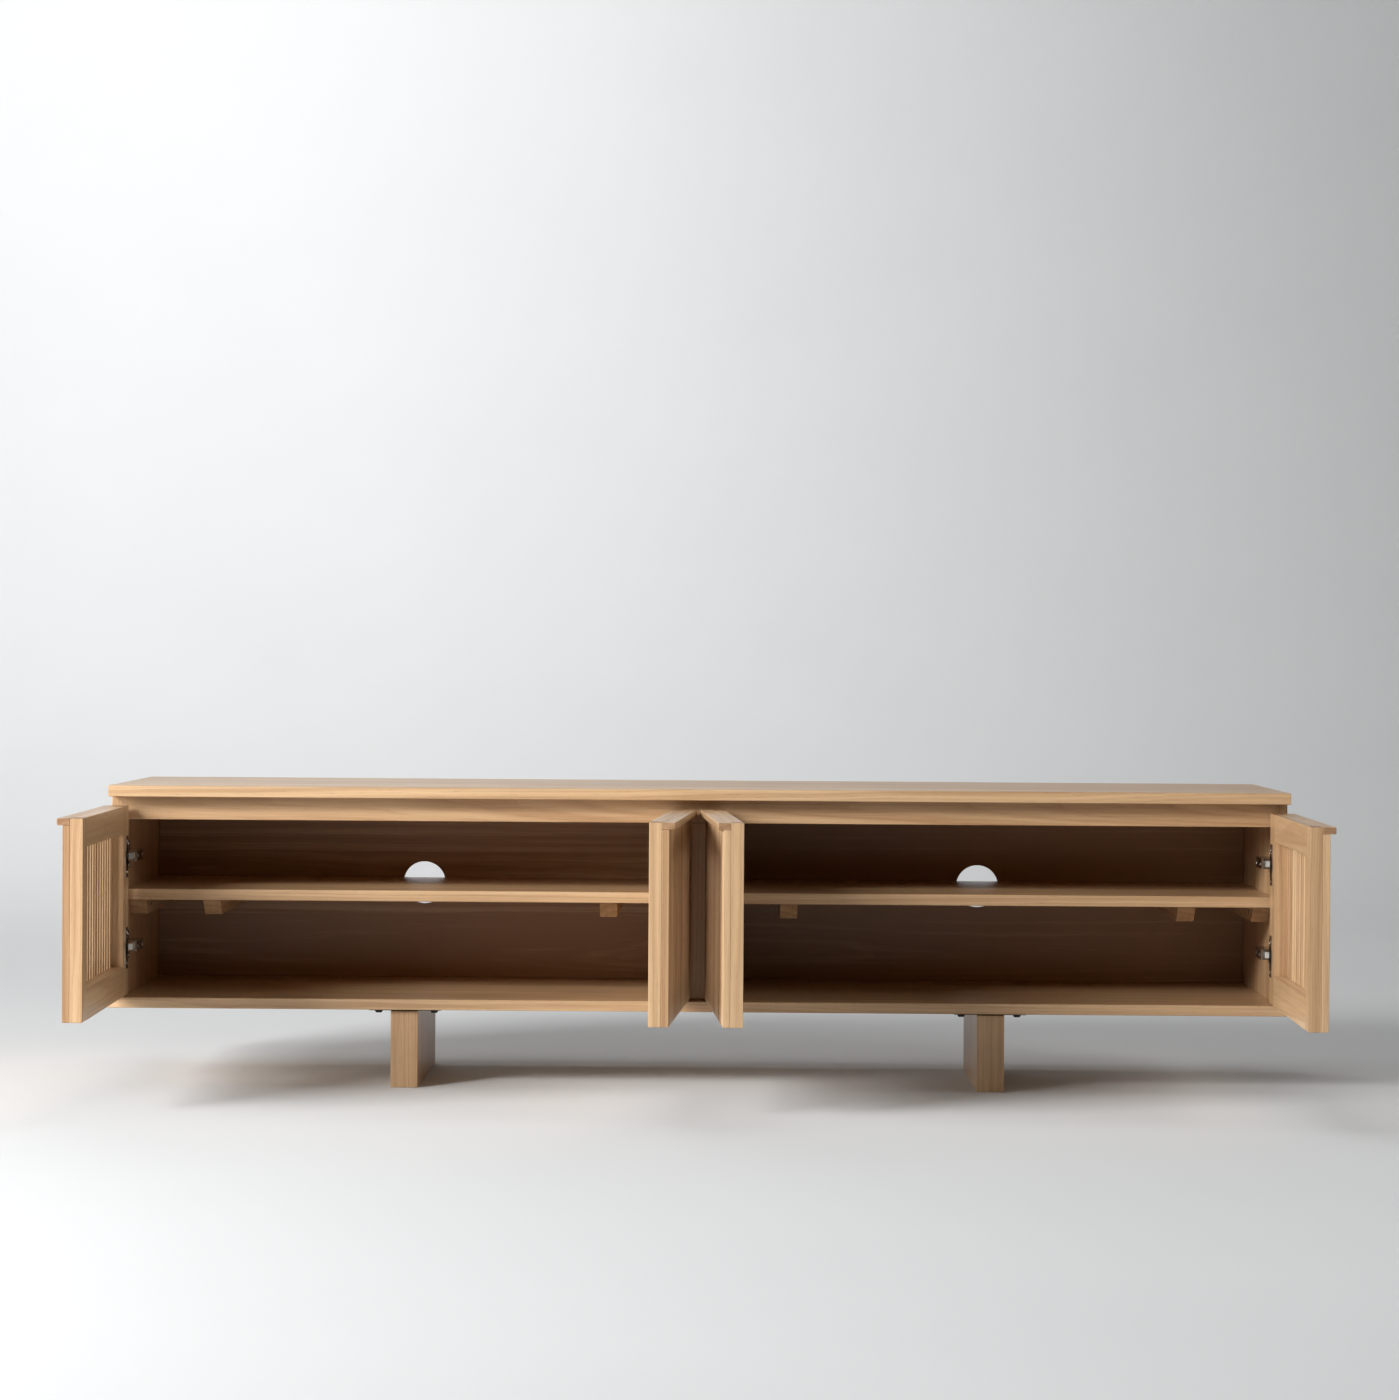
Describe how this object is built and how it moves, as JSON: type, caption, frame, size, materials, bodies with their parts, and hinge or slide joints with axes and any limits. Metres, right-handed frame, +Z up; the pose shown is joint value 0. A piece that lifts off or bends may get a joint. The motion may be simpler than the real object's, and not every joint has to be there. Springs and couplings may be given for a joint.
{
  "type": "media cabinet",
  "caption": "Low oak media cabinet with slatted doors over two shelved bays, cable holes in the back and two slab legs.",
  "frame": {"origin": "on the floor, under the middle of the whole object with its doors standing open as stored", "axes": "+X to the right as seen from the front, +Y towards the back panels, +Z up"},
  "size_m": [2.0204, 0.9158, 0.51],
  "materials": {
    "oak": "matte oiled",
    "hinge_steel": "satin nickel plate",
    "black_steel": "satin black"
  },
  "bodies": {
    "cabinet": {"top_panel": "oak", "bottom_panel": "oak", "left_side": "oak", "right_side": "oak", "left_divider": "oak", "right_divider": "oak", "front_rail": "oak", "rear_rail": "oak", "centre_stile": "oak", "rear_stile": "oak", "left_back": "oak", "right_back": "oak", "left_shelf": "oak", "right_shelf": "oak", "left_outer_cleat": "oak", "left_inner_cleat": "oak", "right_inner_cleat": "oak", "right_outer_cleat": "oak", "left_outer_bearer": "oak", "left_inner_bearer": "oak", "right_inner_bearer": "oak", "right_outer_bearer": "oak", "left_leg": "oak", "right_leg": "oak", "left_leg_plate": "black_steel", "right_leg_plate": "black_steel", "leg_bolts": "black_steel", "hinge_arms": "hinge_steel"},
    "door_1": {"door_1_hinge_stile": "oak", "door_1_free_stile": "oak", "door_1_top_rail": "oak", "door_1_bottom_rail": "oak", "door_1_slats": "oak", "door_1_pull": "oak", "door_1_hinge_cups": "hinge_steel"},
    "door_2": {"door_2_hinge_stile": "oak", "door_2_free_stile": "oak", "door_2_top_rail": "oak", "door_2_bottom_rail": "oak", "door_2_slats": "oak", "door_2_pull": "oak", "door_2_hinge_cups": "hinge_steel"},
    "door_3": {"door_3_hinge_stile": "oak", "door_3_free_stile": "oak", "door_3_top_rail": "oak", "door_3_bottom_rail": "oak", "door_3_slats": "oak", "door_3_pull": "oak", "door_3_hinge_cups": "hinge_steel"},
    "door_4": {"door_4_hinge_stile": "oak", "door_4_free_stile": "oak", "door_4_top_rail": "oak", "door_4_bottom_rail": "oak", "door_4_slats": "oak", "door_4_pull": "oak", "door_4_hinge_cups": "hinge_steel"}
  },
  "joints": [
    {"name": "door_1_hinge", "type": "hinge", "parent": "cabinet", "child": "door_1", "pos_m": [-0.99, 0.02443, 0.3], "axis": [0, 0, -1], "range_deg": [-88.6, 16.4]},
    {"name": "door_2_hinge", "type": "hinge", "parent": "cabinet", "child": "door_2", "pos_m": [-0.023, 0.02443, 0.3], "axis": [0, 0, 1], "range_deg": [-86.7, 3.3]},
    {"name": "door_3_hinge", "type": "hinge", "parent": "cabinet", "child": "door_3", "pos_m": [0.023, 0.02443, 0.3], "axis": [0, 0, -1], "range_deg": [-86.1, 3.9]},
    {"name": "door_4_hinge", "type": "hinge", "parent": "cabinet", "child": "door_4", "pos_m": [0.99, 0.02443, 0.3], "axis": [0, 0, 1], "range_deg": [-88.7, 16.3]}
  ]
}
